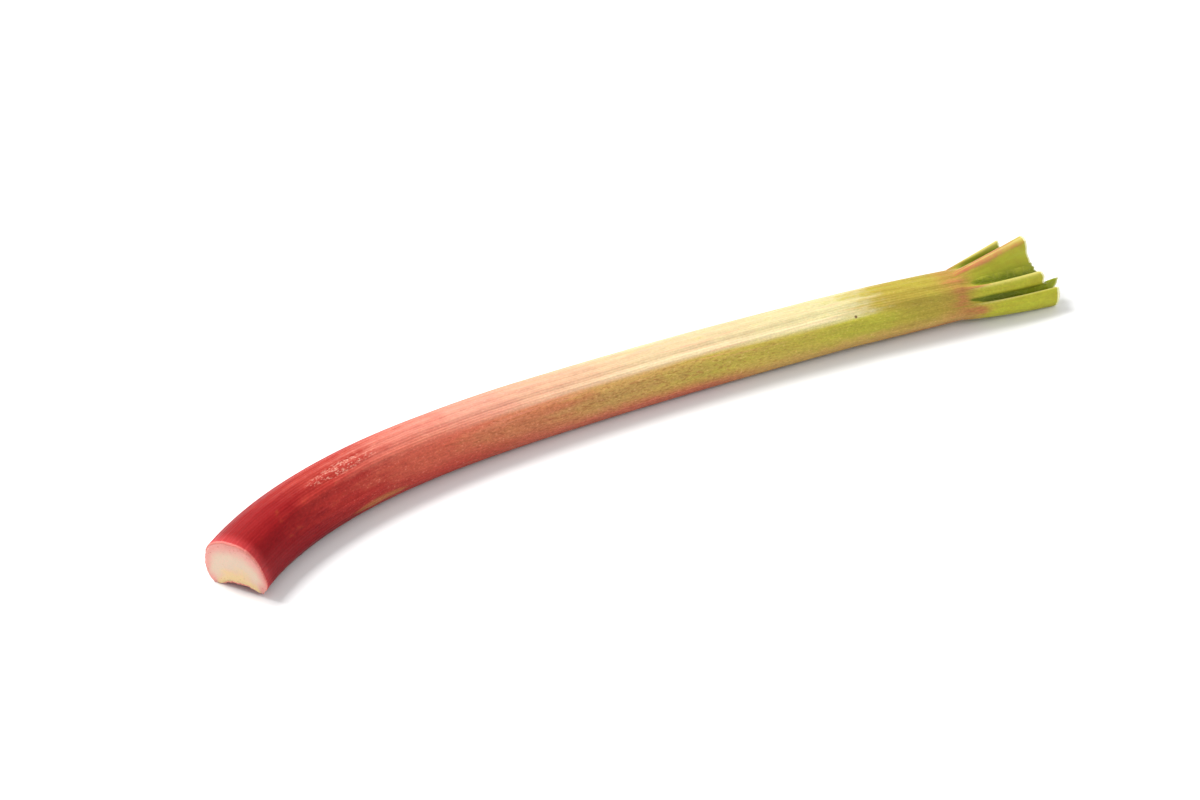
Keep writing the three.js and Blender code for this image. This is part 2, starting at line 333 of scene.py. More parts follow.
@dataclass(frozen=True)
class StalkForm:
    """The stalk's surface as formulas: a section carried along a path, then a head that opens."""

    stem: StemSizes = StemSizes()
    relief: ReliefSizes = ReliefSizes()
    head: HeadSizes = HeadSizes()

    def heading(self, share: Array) -> Array:
        """The stem's direction: an even bow, and a crook by a power of what is left of it.

        It slopes over a low arch of a squared sine up to its middle, and from there by a power that
        lifts its neck.

        Args:
            share: shares of the stem's length.

        Returns:
            Directions of length one.
        """
        s = self.stem
        left = np.maximum(0.0, 1.0 - share / s.crook_share)
        turn = np.radians(s.crook_turn * left**s.crook_power + s.bow * (0.5 - share))
        arch = 2.0 * math.pi * s.arch_height / s.length * np.sin(4.0 * math.pi * share)
        risen = np.maximum(0.0, 2.0 * share - 1.0) ** (s.lift_power - 1.0)
        slope = np.where(share < 0.5, arch, 2.0 * s.lift_power * s.neck_lift / s.length * risen)
        return unit(np.stack([np.cos(turn), np.sin(turn), slope], axis=-1))

    def roll(self, share: Array) -> Array:
        """The lean on the rear rim in radians, which fades before the fork."""
        return math.radians(self.stem.roll) * np.minimum(1.0, (1.0 - share) / self.stem.roll_fade)

    def width(self, share: Array) -> Array:
        """The stem's width: an even taper and a pinch that grows by the square towards the fork."""
        s, pinched = self.stem, np.maximum(0.0, 1.0 - (1.0 - share) / self.stem.pinch_share)
        return s.base_width + (s.neck_width - s.base_width) * share - s.neck_pinch * pinched**2

    def spine(self, share: Array) -> tuple[Array, Array, Array, Array]:
        """The middle of the underside, and the ways forward, sideways and upwards there.

        The middle is the directions added up, and lifted by how far the lean takes the rear rim down.
        The last two ways lean with the stem.

        Args:
            share: shares of the stem's length.

        Returns:
            Four arrays, with a point or a direction for each share.
        """
        s = self.stem
        fine = np.linspace(0.0, 1.0, PATH_STEPS + 1)
        ways = self.heading(fine)
        pieces = (ways[1:] + ways[:-1]) / 2.0 * s.length / PATH_STEPS
        run = np.vstack([np.zeros((1, 3)), np.cumsum(pieces, axis=0)]) + [s.start_x, s.start_y, -s.pressed]
        run[:, 2] += self.width(fine) / 2.0 * HALF_BACK[0, 0] * np.sin(self.roll(fine))
        forward, lean = self.heading(share), self.roll(share)[:, None]
        level = unit(np.stack([-forward[:, 1], forward[:, 0], np.zeros(len(share))], axis=-1))
        side = level * np.cos(lean) - np.cross(forward, level) * np.sin(lean)
        return between(share, fine, run), forward, side, np.cross(forward, side)

    def outline(self, around: Array) -> tuple[Array, Array]:
        """The back's outline in half widths: cubics through the listed points, evenly spaced by length.

        Args:
            around: shares of the way from the front channel edge over the crown to the rear one.

        Returns:
            The outline's points and the directions in which the relief stands out.
        """
        half = HALF_BACK * [1.0, 2.0 * self.stem.height_ratio]
        knots = np.vstack([half * [-1.0, 1.0], half[-2::-1]])
        count = len(knots) - 1
        place = np.linspace(0.0, count, OUTLINE_STEPS + 1)
        at = np.minimum(place.astype(int), count - 1)
        before, start = knots[np.maximum(at - 1, 0)], knots[at]
        end, after = knots[at + 1], knots[np.minimum(at + 2, count)]
        curve = cubic((place - at)[:, None], start, end, (end - before) / 2.0, (after - start) / 2.0)
        steps = np.linalg.norm(np.diff(curve, axis=0), axis=1)
        length = np.concatenate([[0.0], np.cumsum(steps)])
        wanted = around * length[-1]
        tangent = between(wanted, length, unit(np.gradient(curve, axis=0)))
        return between(wanted, length, curve), np.stack([-tangent[:, 1], tangent[:, 0]], axis=-1)

    def skin_relief(self, share: Array, around: Array) -> Array:
        """How far the skin stands out: strings as cosine waves, finer ones over them, and a soft ridge.

        Args:
            share: shares of the stem's length, one for each row.
            around: shares of the way round the back, one for each column.

        Returns:
            Heights in millimetres, rows by columns.
        """
        r = self.relief
        s, u = share[:, None], around[None, :]
        along, inside = s * self.stem.length, np.minimum(u, 1.0 - u)
        grown = np.minimum(1.0, s / r.string_fade)
        drift = r.string_drift * r.drift.at(along)
        strings = r.string_height * grown * (np.cos(2.0 * math.pi * r.strings * u) - 1.0) / 2.0
        fine = np.cos(2.0 * math.pi * r.fine_strings * (u + drift) + 0.5 * r.sway.at(along))
        uneven = 0.6 + 0.4 * r.uneven.at(u * 40.0 + s * 3.0)
        ridge_at = r.ridge_at + drift - r.ridge_drift * smooth_step(s, r.drift_from, r.drift_to)
        ridge = r.ridge_height * np.exp(-(((inside - ridge_at) / r.ridge_width) ** 2))
        begun = smooth_step(s, r.ridge_from, r.ridge_from + r.ridge_rise)
        ended = smooth_step(s, r.ridge_to - r.ridge_fall, r.ridge_to)
        lumps = r.lumps_along.at(along + 30.0 * u) * r.lumps_round.at(u * 10.0)
        puckers = np.exp(-along / r.pucker_reach) * r.puckers.at(u * 60.0)
        small = r.fine_height * (0.3 + 0.7 * grown) * fine * uneven
        small = small + r.lump_height * lumps + r.pucker_height * puckers
        return strings + ridge * begun * (1.0 - ended) + np.minimum(1.0, inside / r.rim_fade) * small

    def stem_rows(self, share: Array, around: Array) -> tuple[Array, Array]:
        """The stem's back and channel, and near the base their slide along the stem to the knife's plane.

        The back is the outline times half the width, plus the relief. The channel is a parabola between
        its two rims, with small folds at the base. Near the base both lean to the rear by a share of
        their height, which fades by a power of e. The slide shrinks evenly with the distance from the cut.

        Args:
            share: shares of the stem's length.
            around: shares of the way round the back.

        Returns:
            Two grids of points, the back's and the channel's.
        """
        s, r, across = self.stem, self.relief, 2.0 * around[::2] - 1.0
        place, out = self.outline(around)
        shares = np.concatenate([[0.0], share])
        path, forward, side, up = self.spine(shares)
        half = (self.width(shares) / 2.0)[:, None]
        relief = self.skin_relief(shares, around)
        high = place[:, 1] * half + out[:, 1] * relief
        lean = s.base_lean * np.exp(-shares / s.lean_fade)[:, None]
        over = place[:, 0] * half + out[:, 0] * relief + lean * high
        depth = s.channel_along + (s.channel_at_base - s.channel_along) * np.exp(-shares / s.channel_fade)
        folds = r.fold_height * r.folds.at(across * 6.0) * np.exp(-shares / r.fold_reach)[:, None]
        hollow = depth[:, None] * (1.0 - across**2) + folds * (1.0 - across**8)
        beside = half * s.channel_edge * across + lean * hollow
        level = math.atan2(forward[0, 1], forward[0, 0]) + math.radians(s.cut_turn)
        tilt = math.radians(s.cut_tilt)
        flat = -math.cos(tilt)
        knife = np.array([flat * math.cos(level), flat * math.sin(level), math.sin(tilt)])
        left = np.maximum(0.0, 1.0 - shares * s.length / s.cut_reach)[:, None]
        slid = []
        for aside, raised in ((over, high), (beside, hollow)):
            points = path[:, None] + aside[..., None] * side[:, None] + raised[..., None] * up[:, None]
            slide = -((points[0] - path[0]) @ knife) / (forward[0] @ knife) * left
            slid.append((points + slide[..., None] * forward[:, None])[1:])
        return slid[0], slid[1]

    def tips(self, around: Array) -> tuple[Array, Array]:
        """The head's places at its cut ends: side, height and length past the fork, front and rear.

        Args:
            around: shares of the way round the back.

        Returns:
            Rows for the outside, and for the inside across from every second one of them.
        """
        head, column, rear = self.head, np.minimum(around, 1.0 - around) * BACK_STEPS, around > 0.5
        outside = through(HEAD_OUTSIDE, column)
        inside = np.concatenate([through(HEAD_INSIDE, column[::2] / 2.0), outside[::2, 2:]], axis=1)
        trim = head.rear_trim * np.minimum(1.0, (BACK_STEPS / 2.0 - column) / head.trim_steps)
        for tip, step in ((outside, 1), (inside, 2)):
            tip[:, 0] *= np.where(rear, 1.0, -1.0)[::step]
            tip[:, 2] += head.ragged * head.ends.at(tip[:, 0]) - np.where(rear, trim, 0.0)[::step]
        return outside, inside

    def head_rows(self, share: Array, around: Array) -> tuple[Array, Array]:
        """The head: each column runs on from the fork and blends to its place at the cut end.

        Args:
            share: shares of the way from the fork to the cut ends.
            around: shares of the way round the back.

        Returns:
            Two grids of points, the outside's and the inside's.
        """
        at_fork = np.array([1.0])
        starts = self.stem_rows(at_fork, around)
        fork, forward = self.spine(at_fork)[:2]
        opened = (share**self.head.opening_power)[:, None, None]
        grids = []
        for start, tip in zip(starts, self.tips(around)):
            run = share[:, None] * tip[:, 2]
            straight = start + run[..., None] * forward[0]
            spread = np.empty_like(straight)
            spread[..., 0] = fork[0, 0] + run
            spread[..., 1] = fork[0, 1] + self.head.shift + tip[:, 0]
            spread[..., 2] = tip[:, 1]
            grids.append(straight + (spread - straight) * opened)
        return grids[0], grids[1]

    def rows(self, stem: Array, head: Array, around: Array) -> Array:
        """Rings of points over the back and home along the underside, pressed to the table.

        Args:
            stem: shares of the stem's length at which rings are wanted.
            head: shares of the head's length at which rings are wanted.
            around: shares of the way round the back. Every second one has a partner in the channel.

        Returns:
            A grid of rings by points.
        """
        halves = (self.stem_rows(stem, around), self.head_rows(head, around))
        grid = np.concatenate([np.concatenate([back, under[:, ::-1]], axis=1) for back, under in halves])
        grid[..., 2] = np.maximum(grid[..., 2], 0.0)
        return grid


def new_piece(name: str, points: Array, faces: list, marks: dict[str, Array]) -> Piece:
    """Makes an object at the origin from points in millimetres.

    Args:
        name: the piece's name.
        points: one row for each vertex.
        faces: corners of each face, outward.
        marks: attributes of the vertices, one number or three for each.

    Returns:
        The new object.
    """
    mesh = bpy.data.meshes.new(name)
    mesh.from_pydata((points * MM).tolist(), [], faces)
    mesh.update()
    mesh.shade_smooth()
    for mark, values in marks.items():
        kind, key = ("FLOAT_VECTOR", "vector") if values.ndim == 2 else ("FLOAT", "value")
        layer = mesh.attributes.new(mark, kind, "POINT")
        layer.data.foreach_set(key, np.ascontiguousarray(values, dtype=np.float32).ravel())
    piece = bpy.data.objects.new(name, mesh)
    bpy.context.scene.collection.objects.link(piece)
    return piece


def skin_faces(rings: int, size: int, back_points: int) -> list:
    """Quads between rings that close on themselves, and strips of triangles over the two end rings.

    A quad goes from a point to the next ring's, its neighbour and home. In a strip the back has two
    steps for one of the channel.

    Args:
        rings: number of rings.
        size: points in a ring.
        back_points: how many of them are the back's.

    Returns:
        Corners of each face.
    """
    ring, point = np.meshgrid(np.arange(rings - 1), np.arange(size), indexing="ij")
    here, beside = ring * size + point, ring * size + (point + 1) % size
    quads = np.stack([here, here + size, beside + size, beside], axis=-1).reshape(-1, 4)
    back, channel = np.arange(back_points), np.arange(size - 1, back_points - 1, -1)
    one, two, three, near, far = back[:-1:2], back[1::2], back[2::2], channel[:-1], channel[1:]
    corners = ((one, two, near), (two, far, near), (two, three, far))
    strip = np.concatenate([np.stack(corner, axis=-1) for corner in corners])
    return quads.tolist() + strip.tolist() + (strip[:, ::-1] + (rings - 1) * size).tolist()


def partners(ring: Array, back_points: int) -> Array:
    """For each point of a ring, the point across the section from it.

    Args:
        ring: one ring of points, the back's and then the channel's from the rear.
        back_points: how many of them are the back's.

    Returns:
        A ring of the same size.
    """
    back, channel = ring[:back_points], ring[back_points:][::-1]
    wanted = np.linspace(0.0, len(channel) - 1.0, back_points)
    return np.concatenate([between(wanted, np.arange(len(channel)), channel), back[::2][::-1]])


@dataclass
class StalkSkin:
    """The whole stalk's skin as one closed surface, cut ends included."""

    form: StalkForm
    back_steps: int = 200
    stem_rows: int = 228
    head_rows: int = 68
    row_power: float = 1.06
    inwards: tuple[float, ...] = (0.012, 0.05, 0.12, 0.22, 0.32, 0.42)
    dish: float = 0.25
    dish_share: float = 0.04
    web_at: float = 18.0
    web_reach: float = 1.9
    groove_at: float = 11.2

    def build(self) -> Piece:
        """Lays rings from base to tips, and further rings inwards over each cut end.

        Each inward ring lies part of the way from its own points to the points across the section, and
        a strip of triangles closes what is left.

        Returns:
            The skin.
        """
        around = np.linspace(0.0, 1.0, self.back_steps + 1)
        stem = np.linspace(0.0, 1.0, self.stem_rows + 1) ** self.row_power
        head = np.linspace(0.0, 1.0, self.head_rows + 1)[1:]
        body = self.form.rows(stem, head, around)
        inwards = np.array(self.inwards)
        base_caps = self.cap(body[0], body[1], inwards[::-1])
        grid = np.concatenate([base_caps, body, self.cap(body[-1], body[-2], inwards)])
        faces = skin_faces(*grid.shape[:2], len(around))
        return new_piece("stalk_skin", grid.reshape(-1, 3), faces, self.marks(stem, head, around))

    def cap(self, rim: Array, before: Array, inwards: Array) -> Array:
        """Rings over a cut end, dished by a parabola of the way inwards.

        Args:
            rim: the last ring of the skin.
            before: the ring before it.
            inwards: shares of the way to the point across the section.

        Returns:
            One ring for each share.
        """
        inner = partners(rim, self.back_steps + 1) - rim
        part = inwards[:, None, None]
        thick = np.linalg.norm(inner, axis=-1)[None, :, None]
        dished = np.minimum(self.dish, self.dish_share * thick) * 4.0 * part * (1.0 - part)
        rings = rim + inner * part - unit((rim - before).mean(axis=0)) * dished
        rings[..., 2] = np.maximum(rings[..., 2], 0.0)
        return rings

    def marks(self, stem: Array, head: Array, around: Array) -> dict[str, Array]:
        """What the finish reads: the place along and round the stalk, blade, crest and cut.

        Args:
            stem: shares of the stem's rings.
            head: shares of the head's rings.
            around: shares of the way round the back.

        Returns:
            Attributes for every vertex.
        """
        length, caps, home = self.form.stem.length, len(self.inwards), around[::2]
        along = np.concatenate([stem * length, length + head * self.form.head.length])
        along = np.concatenate([np.full(caps, -1.0), along, np.full(caps, along[-1] + 1.0)])
        turn = np.concatenate([around * BACK_SHARE, BACK_SHARE + home * (1.0 - BACK_SHARE)])
        angle = 2.0 * math.pi * (BACK_SHARE / 2.0 - turn)
        lay = np.stack(np.broadcast_arrays(along[:, None], np.sin(angle), np.cos(angle)), axis=-1)
        column = np.concatenate([np.minimum(around, 1.0 - around) * BACK_STEPS, np.full(len(home), -9.0)])
        opened = np.concatenate([np.zeros(caps + len(stem)), head, np.ones(caps)])[:, None]
        # Where painted shade lies on the skin under the wide web
        web = np.exp(-(((column - self.web_at) / self.web_reach) ** 4))
        narrow = 0.4 + 0.8 * smooth_step(opened, 0.0, 0.35)
        # Where painted shade lies in the groove
        groove = np.exp(-(((column - self.groove_at) / narrow) ** 4))
        # Where painted highlight lies along the crests
        crest = np.exp(-(((column[:, None] - CREST_HIGHLIGHTS[:, 0]) / CREST_HIGHLIGHTS[:, 1]) ** 2)).sum(axis=1)
        far = (((along - length)[:, None, None] - ROSES[:, 0]) / ROSES[:, 2]) ** 2
        aside = ((column[None, :, None] - ROSES[:, 1]) / ROSES[:, 3]) ** 2
        cut = np.ones_like(opened)
        cut[caps:-caps] = 0.0
        marks = {
            "blade": smooth_step(opened, 0.1, 0.35) * web,
            "groove": smooth_step(opened, 0.02, 0.09) * groove,
            "crest": smooth_step(opened, 0.0, 0.3) * crest,
            "rose": (ROSES[:, 4] * np.exp(-far - aside)).sum(axis=-1),
            "opened": opened,
            "cut": cut,
        }
        spread = {mark: np.broadcast_to(values, lay.shape[:2]).ravel() for mark, values in marks.items()}
        return {"lay": lay.reshape(-1, 3), **spread}


# The lowest that a slab's points lie, above the table
LOWEST = np.array([-math.inf, -math.inf, 0.02])


class Slabs:
    """Thin closed slabs that are gathered into one piece."""

    def __init__(self) -> None:
        """Starts without a slab."""
        self.points, self.faces, self.marks = [], [], {"lay": [], "deep": []}

    def add(self, front: Array, rear: Array, lay: tuple[Array, Array, Array], deep: Array) -> None:
        """Adds two facing grids and the wall between their edges.

        Args:
            front: the outer grid of points.
            rear: the grid behind it.
            lay: the finish's three places for the grid's points.
            deep: the finish's fourth number for them.
        """
        layers, count = front.shape[:2]
        start, size = sum(len(points) for points in self.points), layers * count
        row, column = np.meshgrid(np.arange(layers - 1), np.arange(count - 1), indexing="ij")
        here = start + row * count + column
        outer = np.stack([here, here + 1, here + count + 1, here + count], axis=-1).reshape(-1, 4)
        top, right = np.arange(count), np.arange(layers) * count + count - 1
        bottom, left = (layers - 1) * count + top[::-1], np.arange(layers)[::-1] * count
        loop = np.concatenate([top[:-1], right[:-1], bottom[:-1], left[:-1]]) + start
        after = np.roll(loop, -1)
        wall = np.stack([after, loop, loop + size, after + size], axis=-1)
        self.faces += np.concatenate([outer, outer[:, ::-1] + size, wall]).tolist()
        self.points.append(np.concatenate([front.reshape(-1, 3), rear.reshape(-1, 3)]))
        places = np.stack(np.broadcast_arrays(*lay), axis=-1).reshape(-1, 3)
        self.marks["lay"].append(np.concatenate([places, places]))
        self.marks["deep"].append(np.tile(deep.ravel(), 2))

    def piece(self, name: str) -> Piece:
        """All slabs as one piece, held just above the table."""
        marks = {mark: np.concatenate(values) for mark, values in self.marks.items()}
        return new_piece(name, np.maximum(np.concatenate(self.points), LOWEST), self.faces, marks)


@dataclass
class CutFlesh:
    """Flesh that shows on one cut end: thin closed pads that stand just proud of the skin's end."""

    form: StalkForm
    back_steps: int = 160
    layers: int = 14
    proud: float = 0.16
    sunk: float = 0.5
    base_inset: float = 0.035
    rib_inset: float = 0.09
    rib_spans: tuple = ((0.02, 0.19), (0.26, 0.345), (0.43, 0.57), (0.655, 0.74), (0.81, 0.98))
    rough_height: float = 0.06
    rough: Wave = Wave(6.0, 6, 41)

    def pad(self, name: str, rings: Array, spans: tuple, inset: float) -> Piece:
        """Builds pads over parts of a cut end.

        A pad's front is a grid between the back's line and the channel's, raised by a flat dome, one
        minus a high power of the way from its middle. Its other side is the same grid, sunk.

        Args:
            name: the piece's name.
            rings: the skin's last ring and the ring before it.
            spans: shares of the way round the back where each pad starts and ends.
            inset: how far the pad keeps from the skin's edge, as a share of the section.

        Returns:
            The pads as one piece.
        """
        around = self.around()
        rim = rings[0][: len(around)]
        inner = partners(rings[0], len(around))[: len(around)] - rim
        outward = unit((rings[0] - rings[1]).mean(axis=0))
        inward = np.linspace(inset, 1.0 - inset, self.layers)[:, None]
        slabs = Slabs()
        for low, high in spans:
            kept = (around >= low) & (around <= high)
            edge = np.abs(np.linspace(-1.0, 1.0, int(kept.sum())))
            level = 1.0 - np.maximum(edge**12, np.abs(2.0 * inward - 1.0) ** 10)
            flat = rim[kept] + inner[kept] * inward[..., None]
            rough = self.rough_height * self.rough.at(flat[..., 1] * 2.0 + flat[..., 2])
            lift = self.proud * (1.5 * level - 0.5) + rough * level
            deep = np.minimum(np.minimum(inward, 1.0 - inward), 1.0 - edge)
            front, rear = flat + outward * lift[..., None], flat - outward * self.sunk
            slabs.add(front, rear, (inward, flat[..., 1], flat[..., 2]), deep)
        return slabs.piece(name)

    def around(self) -> Array:
        """Shares of the way round the back."""
        return np.linspace(0.0, 1.0, self.back_steps + 1)

    def base(self) -> Piece:
        """The flesh of the cut base."""
        rings = self.form.rows(np.array([0.0, 0.004]), np.array([]), self.around())
        return self.pad("base_cut", rings, ((0.0, 1.0),), self.base_inset)

    def ribs(self) -> Piece:
        """The flesh of the ribs' cut ends, turned to face outward there."""
        rings = self.form.rows(np.array([]), np.array([1.0, 0.99]), self.around())
        piece = self.pad("rib_cuts", rings, self.rib_spans, self.rib_inset)
        piece.data.flip_normals()
        return piece


@dataclass
class LeafBlade:
    """What is left of the leaf blade between the ribs: thin torn sheets that line the grooves."""

    form: StalkForm
    spans: tuple = ((0.205, 0.252), (0.355, 0.415), (0.585, 0.645), (0.748, 0.795))
    narrow: float = 0.05
    begins: float = 0.03
    thickness: float = 0.6
    proud: float = 0.10
    past: float = 1.1
    point: float = 3.0
    point_at: float = 11.6
    columns: int = 22
    rows: int = 46
    tear_length: float = 9.0
    tear_seed: int = 51

    def build(self) -> Piece:
        """Lays a sheet over each groove.

        A sheet's front is the head's surface raised by a flat dome across the groove, and it runs past
        the cut ends by a torn line of sine waves. Its other side is the same surface, sunk. The narrow
        sheets rise to a point at their ends.

        Returns:
            The four sheets as one piece.
        """
        slabs = Slabs()
        rows = np.linspace(self.begins, 1.0, self.rows)
        share = rows[:, None]
        for number, (low, high) in enumerate(self.spans):
            across = np.linspace(low, high, self.columns)
            surface = self.form.head_rows(rows, across)[0]
            normal = unit(np.cross(np.gradient(surface, axis=0), np.gradient(surface, axis=1)))
            edge = np.abs(np.linspace(-1.0, 1.0, self.columns))
            begun = smooth_step(share, self.begins, 0.30)
            dome = begun * np.maximum(0.0, 1.0 - (edge / (0.35 + 0.65 * begun)) ** 4)
            front = surface + normal * (self.proud * (1.6 * dome - 0.6))[..., None]
            tear = Wave(self.tear_length, 6, self.tear_seed + number).at(across * 120.0 + 7.0 * number)
            front[..., 0] += smooth_step(share, 0.9, 1.0) * self.past * (0.5 + 0.5 * tear)
            narrow = high - low < self.narrow
            if narrow:
                step = np.minimum(across, 1.0 - across) * BACK_STEPS
                point = np.exp(-(((step - self.point_at) / 0.7) ** 2))
                front[..., 2] += self.point * point * smooth_step(share, 0.72, 1.0)
            lay = (share * self.form.head.length, across * 60.0, np.abs(across - 0.5) * BACK_STEPS)
            slabs.add(front, front - normal * self.thickness, lay, np.full(dome.shape, float(narrow)))
        piece = slabs.piece("leaf_blade")
        piece.data.flip_normals()
        return piece


def operator(operation: str, swapped: bool = False) -> Callable[["Value", Number], "Value"]:
    """An arithmetic method that adds one Math node.

    Args:
        operation: the Math node's operation.
        swapped: whether the other number comes first.

    Returns:
        The method.
    """

    def method(self: "Value", other: Number) -> "Value":
        """The two numbers reckoned together."""
        first, second = (other, self) if swapped else (self, other)
        return self.tree.math(operation, first, second)

    return method


class Value:
    """A shader socket that can be reckoned with."""

    __add__ = __radd__ = operator("ADD")
    __sub__ = operator("SUBTRACT")
    __rsub__ = operator("SUBTRACT", swapped=True)
    __mul__ = __rmul__ = operator("MULTIPLY")
    __truediv__ = operator("DIVIDE")

    def __init__(self, tree: "Shader", socket: Any) -> None:
        """Keeps the socket and the tree that it is in."""
        self.tree, self.socket = tree, socket

    def step(self, low: float, high: float) -> "Value":
        """A smooth step from zero at low to one at high, whichever of the two is the greater."""
        ends = {1: low, 2: high, 3: 0.0, 4: 1.0} if low < high else {1: high, 2: low, 3: 1.0, 4: 0.0}
        return self.tree.add("ShaderNodeMapRange", {"interpolation_type": "SMOOTHSTEP"}, {0: self, **ends})


class Shader:
    """One material and its nodes."""

    def __init__(self, name: str) -> None:
        """Makes a material with an empty tree.

        Args:
            name: the material's name.
        """
        self.material = bpy.data.materials.new(name)
        self.material.use_nodes = True
        self.nodes = self.material.node_tree.nodes
        self.links = self.material.node_tree.links
        self.nodes.clear()

    def add(self, kind: str, settings: dict[str, Any], inputs: dict[Any, Any], output: Any = 0) -> Value:
        """Adds one node: its settings first, then its sockets' values and links.

        Args:
            kind: the node's type.
            settings: its own properties.
            inputs: numbers, colours or other values by socket.
            output: the socket that is wanted.

        Returns:
            That socket.
        """
        node = self.nodes.new(kind)
        for key, value in settings.items():
            setattr(node, key, value)
        for key, value in inputs.items():
            if isinstance(value, Value):
                self.links.new(value.socket, node.inputs[key])
            else:
                node.inputs[key].default_value = (*value.value, 1.0) if isinstance(value, Hue) else value
        return Value(self, node.outputs[output])

    def math(self, operation: str, first: Number, second: Number = 0.0) -> Value:
        """One Math node."""
        return self.add("ShaderNodeMath", {"operation": operation}, {0: first, 1: second})

    def mark(self, name: str, output: str = "Fac") -> Value:
        """One of the mesh's own attributes."""
        return self.add("ShaderNodeAttribute", {"attribute_name": name}, {}, output)

    def lay(self) -> list[Value]:
        """The three numbers of the mesh's own lay."""
        node = self.add("ShaderNodeSeparateXYZ", {}, {0: self.mark("lay", "Vector")}).socket.node
        return [Value(self, output) for output in node.outputs]

    def vector(self, x: Number, y: Number, z: Number) -> Value:
        """Three numbers as a vector."""
        return self.add("ShaderNodeCombineXYZ", {}, {0: x, 1: y, 2: z})

    def stretch(self, place: Value, sizes: Sizes) -> Value:
        """A place divided by the size that one cell of a pattern is to have on each axis."""
        factors = tuple(1.0 / size for size in sizes)
        return self.add("ShaderNodeVectorMath", {"operation": "MULTIPLY"}, {0: place, 1: factors})

    def noise(self, place: Value, sizes: Sizes, detail: float = 2.0, rough: float = 0.5) -> Value:
        """Cloudy noise between about 0.2 and 0.8: each finer octave is rough times the one before."""
        inputs = {"Vector": self.stretch(place, sizes), "Scale": 1.0, "Detail": detail, "Roughness": rough}
        return self.add("ShaderNodeTexNoise", {}, inputs)

    def cells(self, place: Value, sizes: Sizes, feature: str = "F1") -> Value:
        """Distance to the nearest of scattered points, or to the nearest edge between them."""
        inputs = {"Vector": self.stretch(place, sizes), "Scale": 1.0}
        return self.add("ShaderNodeTexVoronoi", {"feature": feature}, inputs)

    def shade(self, colour: Value, factor: Value) -> Value:
        """A colour times a number."""
        return self.add("ShaderNodeVectorMath", {"operation": "SCALE"}, {0: colour, "Scale": factor})

    def mix(self, factor: Number, first: Any, second: Any) -> Value:
        """A colour between two colours, by the share of the second."""
        return self.add("ShaderNodeMix", {"data_type": "RGBA"}, {0: factor, 6: first, 7: second}, 2)

    def coats(self, colour: Any, *coats: tuple[Value, Any]) -> Value:
        """Lays colours over a first one, each by its own share.

        Args:
            colour: the first colour.
            coats: shares and colours, from the lowest up.

        Returns:
            The colour on top.
        """
        for share, hue in coats:
            colour = self.mix(share, colour, hue)
        return colour

    def ramp(self, factor: Value, stops: tuple) -> Value:
        """A run of colours.

        Args:
            factor: the place in the run.
            stops: places and colours.

        Returns:
            The colour there.
        """
        colour = self.add("ShaderNodeValToRGB", {}, {0: factor})
        ramp = colour.socket.node.color_ramp
        ramp.interpolation = "EASE"
        for number, (place, hue) in enumerate(stops):
            stop = ramp.elements[number] if number < 2 else ramp.elements.new(place)
            stop.position = place
            stop.color = (*hue.value, 1.0)
        return colour

    def finish(self, sockets: dict[str, Any], height: Value, depth: float) -> Material:
        """Ends the material with a bump and a Principled shader.

        Args:
            sockets: the shader's numbers, colours and links.
            height: the bump's height.
            depth: its depth in metres.

        Returns:
            The material.
        """
        bump = self.add("ShaderNodeBump", {}, {"Strength": 1.0, "Distance": depth, "Height": height})
        shader = self.add("ShaderNodeBsdfPrincipled", {}, {**sockets, "Normal": bump})
        end = self.nodes.new("ShaderNodeOutputMaterial")
        self.links.new(shader.socket, end.inputs["Surface"])
        return self.material


@dataclass(frozen=True)
class Blot:
    """A small patch on the skin: where it lies, along in millimetres and round in degrees."""

    along: float
    angle: float
    length: float
    width: float

    def shown(self, along: Value, angle: Value) -> Value:
        """One inside the patch and zero outside, by the squared distance from its middle."""
        far, aside = (along - self.along) / self.length, (angle - self.angle) / self.width
        return (far * far + aside * aside).step(1.4, 0.3)


